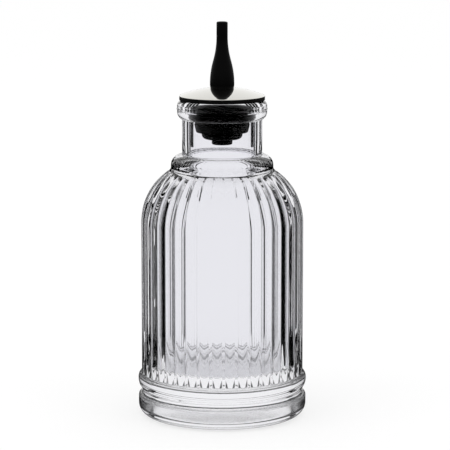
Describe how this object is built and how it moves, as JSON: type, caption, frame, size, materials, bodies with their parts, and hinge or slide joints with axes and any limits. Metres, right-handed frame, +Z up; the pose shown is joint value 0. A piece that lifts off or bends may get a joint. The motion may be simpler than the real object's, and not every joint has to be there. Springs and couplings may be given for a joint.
{
  "type": "dash bottle with dasher stopper",
  "caption": "Small reeded clear glass bottle with a push-in rubber stopper that carries a domed polished plate and a slim black dasher spout for giving liquid by the drop.",
  "frame": {"origin": "centre of the foot on the surface that the bottle stands on", "axes": "+Z up along the bottle's axis towards the spout's tip; +Y away from the camera of the picture, +X to its right"},
  "size_m": [0.0533, 0.0532, 0.1246],
  "materials": {
    "clear_glass": "clear moulded glass, fire polished",
    "black_rubber": "moulded black rubber, satin",
    "polished_steel": "mirror polished",
    "black_gloss": "turned metal, glossy black coat",
    "black_plastic": "moulded black plastic"
  },
  "bodies": {
    "bottle": {"glass_bottle": "clear_glass"},
    "stopper": {"stopper_bung": "black_rubber", "lip_gasket": "black_rubber"},
    "dasher": {"dasher_spout": "black_gloss", "cover_plate": "polished_steel", "shank_nut": "black_gloss", "drip_insert": "black_plastic"}
  },
  "joints": [
    {"name": "stopper_lift", "type": "slide", "parent": "bottle", "child": "stopper", "axis": [0, 0, 1], "range_m": [0, 0.03]},
    {"name": "dasher_turn", "type": "hinge", "parent": "stopper", "child": "dasher", "pos_m": [0, 0, 0.1], "axis": [0, 0, 1], "continuous": true}
  ]
}
